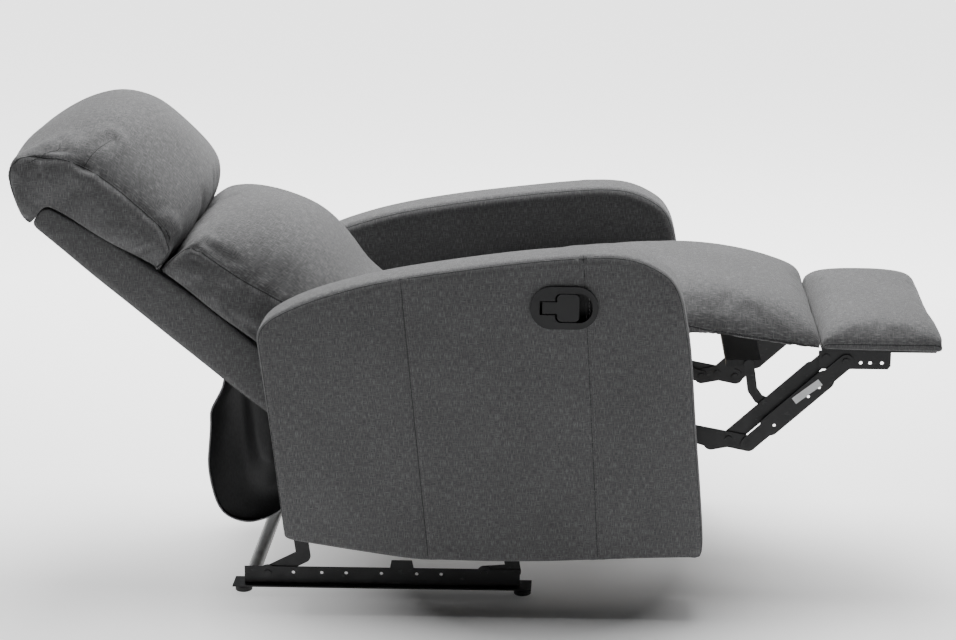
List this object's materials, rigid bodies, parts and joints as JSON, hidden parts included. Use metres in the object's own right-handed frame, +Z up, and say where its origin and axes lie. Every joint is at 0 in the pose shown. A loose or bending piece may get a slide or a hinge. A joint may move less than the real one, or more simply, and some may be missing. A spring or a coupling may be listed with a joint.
{
  "type": "recliner armchair",
  "caption": "Upholstered manual recliner armchair with bowed padded arms, a pillowed back, a fold-out footrest on scissor links and a low steel base.",
  "frame": {"origin": "on the floor, under the middle of the box around the fully reclined chair", "axes": "+Z up, the chair faces -Y, +X is the sitter's left"},
  "size_m": [0.674, 1.6079, 0.8535],
  "materials": {
    "grey_fabric": "heathered flat weave",
    "black_cloth": "non-woven lining",
    "wood": "raw plywood",
    "bare_steel": "bare tube",
    "spring_steel": "oiled wire",
    "black_plastic": "fine textured",
    "glide_plastic": "moulded",
    "pin_steel": "plain",
    "black_steel": "satin black"
  },
  "bodies": {
    "base": {"base_rail_left": "black_steel", "base_rail_right": "black_steel", "rear_cross_tube": "bare_steel", "front_cross_tube": "bare_steel", "floor_glides": "glide_plastic", "base_rivets": "black_steel"},
    "rear_lift_links": {"rear_lift_link_left": "black_steel", "rear_lift_link_right": "black_steel"},
    "front_lift_links": {"front_lift_link_left": "black_steel", "front_lift_link_right": "black_steel"},
    "seat": {"side_rail_left": "wood", "side_rail_right": "wood", "front_rail": "wood", "rear_rail": "wood", "seat_springs": "spring_steel", "mechanism_plate_left": "black_steel", "mechanism_plate_right": "black_steel", "rear_lift_bracket_left": "black_steel", "rear_lift_bracket_right": "black_steel", "front_lift_bracket_left": "black_steel", "front_lift_bracket_right": "black_steel", "seat_rivets": "black_steel", "seat_cushion": "grey_fabric", "arm_left": "grey_fabric", "arm_right": "grey_fabric", "handle_bezel": "black_plastic", "handle_pin": "pin_steel", "rear_flap": "black_cloth"},
    "back": {"back_frame": "grey_fabric", "back_bracket_left": "black_steel", "back_bracket_right": "black_steel", "lumbar_cushion": "grey_fabric", "head_cushion": "grey_fabric"},
    "handle": {"handle_paddle": "black_plastic"},
    "front_ottoman_links": {"front_ottoman_link_left": "black_steel", "front_ottoman_link_right": "black_steel", "torque_tube": "black_steel", "front_link_rivets": "black_steel"},
    "upper_ottoman_links": {"upper_ottoman_link_left": "black_steel", "upper_ottoman_link_right": "black_steel", "upper_link_rivets": "black_steel", "flipper_arm_left": "black_steel", "flipper_arm_right": "black_steel", "flipper_board": "black_cloth"},
    "lower_ottoman_links": {"lower_ottoman_link_left": "black_steel", "lower_ottoman_link_right": "black_steel", "lower_link_rivets": "black_steel"},
    "rear_ottoman_links": {"rear_ottoman_link_left": "black_steel", "rear_ottoman_link_right": "black_steel"},
    "footrest": {"footrest_bracket_left": "black_steel", "footrest_bracket_right": "black_steel", "footrest_board": "black_cloth", "footrest_pad": "grey_fabric"},
    "leg_flap": {"leg_pad": "grey_fabric"}
  },
  "joints": [
    {"name": "recline", "type": "hinge", "parent": "rear_lift_links", "child": "seat", "pos_m": [0, 0.2995, 0.1314], "axis": [1, 0, 0], "range_deg": [0, 53.18]},
    {"name": "rear_lift_swing", "type": "hinge", "parent": "base", "child": "rear_lift_links", "pos_m": [0, 0.354, 0.037], "axis": [-1, 0, 0], "range_deg": [0, 50.1]},
    {"name": "front_lift_swing", "type": "hinge", "parent": "base", "child": "front_lift_links", "pos_m": [0, -0.0264, 0.042], "axis": [-1, 0, 0], "range_deg": [0, 49.09]},
    {"name": "back_angle", "type": "hinge", "parent": "seat", "child": "back", "pos_m": [0, 0.273, 0.4], "axis": [1, 0, 0], "range_deg": [0, 34.9]},
    {"name": "footrest_fold", "type": "hinge", "parent": "seat", "child": "front_ottoman_links", "pos_m": [0, -0.242, 0.3512], "axis": [1, 0, 0], "range_deg": [0, 96]},
    {"name": "upper_link_swing", "type": "hinge", "parent": "front_ottoman_links", "child": "upper_ottoman_links", "pos_m": [0, -0.448, 0.29], "axis": [-1, 0, 0], "range_deg": [0, 81.86]},
    {"name": "lower_link_swing", "type": "hinge", "parent": "front_ottoman_links", "child": "lower_ottoman_links", "pos_m": [0, -0.482, 0.283], "axis": [-1, 0, 0], "range_deg": [0, 81.86]},
    {"name": "rear_link_swing", "type": "hinge", "parent": "seat", "child": "rear_ottoman_links", "pos_m": [0, -0.216, 0.3479], "axis": [1, 0, 0], "range_deg": [0, 96.73]},
    {"name": "footrest_tilt", "type": "hinge", "parent": "upper_ottoman_links", "child": "footrest", "pos_m": [0, -0.611, 0.438], "axis": [1, 0, 0], "range_deg": [0, 81.86]},
    {"name": "leg_flap_drop", "type": "hinge", "parent": "seat", "child": "leg_flap", "pos_m": [0, -0.372, 0.505], "axis": [1, 0, 0], "range_deg": [0, 82.1]},
    {"name": "handle_pull", "type": "hinge", "parent": "seat", "child": "handle", "pos_m": [-0.332, -0.131, 0.549], "axis": [0, 0, -1], "range_deg": [0, 25], "stiffness_Nm_per_rad": 0.8}
  ],
  "couplings": [
    {"joint": "rear_lift_swing", "follows": "recline", "ratio": 0.9402},
    {"joint": "front_lift_swing", "follows": "recline", "ratio": 0.92121},
    {"joint": "back_angle", "follows": "recline", "ratio": 0.65438},
    {"joint": "upper_link_swing", "follows": "footrest_fold", "ratio": 0.85167},
    {"joint": "lower_link_swing", "follows": "footrest_fold", "ratio": 0.85167},
    {"joint": "rear_link_swing", "follows": "footrest_fold", "ratio": 1.0066},
    {"joint": "footrest_tilt", "follows": "footrest_fold", "ratio": 0.85167},
    {"joint": "leg_flap_drop", "follows": "footrest_fold", "ratio": 0.85417}
  ]
}
